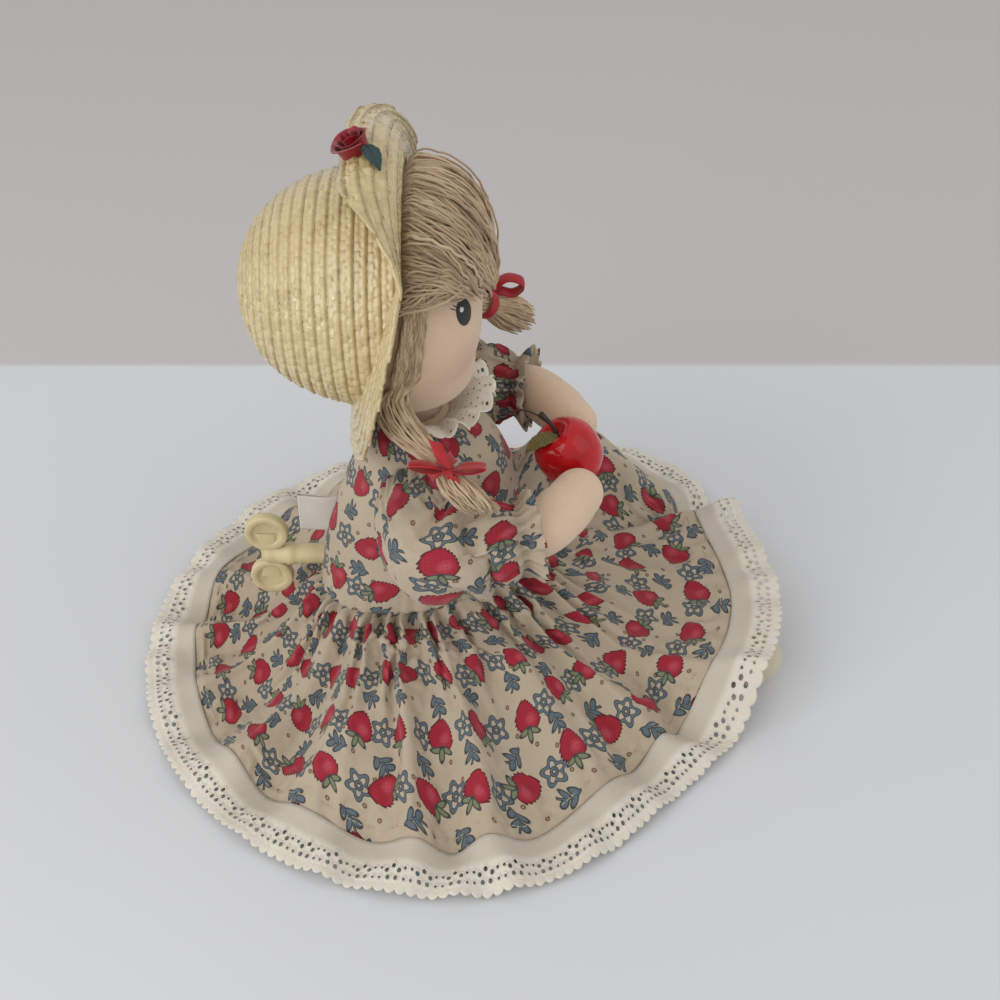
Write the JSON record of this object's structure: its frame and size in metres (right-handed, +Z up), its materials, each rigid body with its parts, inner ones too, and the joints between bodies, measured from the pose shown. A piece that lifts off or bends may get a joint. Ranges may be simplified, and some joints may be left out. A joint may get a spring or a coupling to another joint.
{
  "type": "musical cloth doll",
  "caption": "Seated cloth doll in a straw bonnet and printed dress, holding an apple, with a wind-up musical movement driven by a butterfly key in its back.",
  "frame": {"origin": "on the table under the middle of the torso's flat seat", "axes": "+Z up, the doll faces -Y and its right side is -X"},
  "size_m": [0.3168, 0.3204, 0.2918],
  "materials": {
    "skin_cloth": "matt woven cloth",
    "print_cotton": "matt printed cotton",
    "cream_lace": "matt eyelet lace",
    "yarn": "matt twisted yarn",
    "straw": "glossy straw braid",
    "red_satin": "satin ribbon",
    "rose_ribbon": "satin ribbon",
    "dark_leaf": "satin ribbon",
    "apple_lacquer": "glossy lacquer",
    "olive_leaf": "waxed cloth",
    "stem_wire": "dull",
    "shoe_cloth": "matt cotton",
    "tag_tape": "matt woven tape",
    "key_plastic": "satin moulded",
    "case_plastic": "matt moulded",
    "steel": "bright",
    "brass": "bright",
    "zinc": "cast",
    "nylon": "matt moulded"
  },
  "bodies": {
    "body": {"torso": "skin_cloth", "dress_bodice": "print_cotton", "sewn_tag": "tag_tape", "dress_skirt": "print_cotton", "hem_lace": "cream_lace", "lace_collar": "cream_lace", "movement_case_front": "case_plastic", "movement_case_rear": "case_plastic", "case_screw_1": "steel", "case_screw_2": "steel", "case_screw_3": "steel", "case_screw_4": "steel", "bedplate": "zinc", "bedplate_screw_1": "steel", "bedplate_screw_2": "steel", "comb": "steel", "comb_screw_1": "steel", "comb_screw_2": "steel", "spring_housing": "brass", "mainspring": "steel", "governor_bracket": "steel"},
    "head": {"head": "skin_cloth", "back_hair": "yarn", "front_hair": "yarn", "bonnet": "straw", "right_pigtail": "yarn", "right_bow": "red_satin", "left_pigtail": "yarn", "left_bow": "red_satin", "hat_rose": "rose_ribbon", "rose_leaf": "dark_leaf"},
    "arms": {"right_arm": "skin_cloth", "right_sleeve": "print_cotton", "left_arm": "skin_cloth", "left_sleeve": "print_cotton", "apple": "apple_lacquer", "apple_stem": "stem_wire", "apple_leaf": "olive_leaf"},
    "right_leg": {"right_leg": "skin_cloth", "right_shoe": "shoe_cloth"},
    "left_leg": {"left_leg": "skin_cloth", "left_shoe": "shoe_cloth"},
    "key": {"winding_key": "key_plastic", "winding_arbor": "steel", "drive_wheel": "brass"},
    "cylinder": {"cylinder": "brass", "cylinder_arbor": "steel", "cylinder_pinion": "nylon", "cylinder_wheel": "nylon"},
    "train": {"train_arbor": "steel", "train_pinion": "nylon", "worm_wheel": "nylon"},
    "governor": {"governor_worm": "steel", "governor_fan": "nylon"}
  },
  "joints": [
    {"name": "head_turn", "type": "hinge", "parent": "body", "child": "head", "pos_m": [0, 0.001, 0.15], "axis": [0, 0, 1], "range_deg": [-10, 10], "stiffness_Nm_per_rad": 0.05},
    {"name": "arms_lower", "type": "hinge", "parent": "body", "child": "arms", "pos_m": [0, -0.002, 0.124], "axis": [1, 0, 0], "range_deg": [0, 12], "stiffness_Nm_per_rad": 2},
    {"name": "right_leg_swing", "type": "hinge", "parent": "body", "child": "right_leg", "pos_m": [-0.021, -0.054, 0.0157], "axis": [0, 0, 1], "range_deg": [-4, 4]},
    {"name": "left_leg_swing", "type": "hinge", "parent": "body", "child": "left_leg", "pos_m": [0.021, -0.054, 0.0157], "axis": [0, 0, 1], "range_deg": [-4, 4]},
    {"name": "key_turn", "type": "hinge", "parent": "body", "child": "key", "pos_m": [0, 0.03, 0.061], "axis": [0, 1, 0], "continuous": true},
    {"name": "cylinder_turn", "type": "hinge", "parent": "body", "child": "cylinder", "pos_m": [0.0195, -0.00438, 0.061], "axis": [1, 0, 0], "continuous": true},
    {"name": "train_turn", "type": "hinge", "parent": "body", "child": "train", "pos_m": [0.0195, -0.00438, 0.05131], "axis": [1, 0, 0], "continuous": true},
    {"name": "governor_turn", "type": "hinge", "parent": "body", "child": "governor", "pos_m": [0.01895, -0.00438, 0.04701], "axis": [0, 1, 0], "continuous": true}
  ],
  "couplings": [
    {"joint": "cylinder_turn", "follows": "key_turn", "ratio": -3},
    {"joint": "train_turn", "follows": "key_turn", "ratio": 9},
    {"joint": "governor_turn", "follows": "key_turn", "ratio": -144}
  ]
}
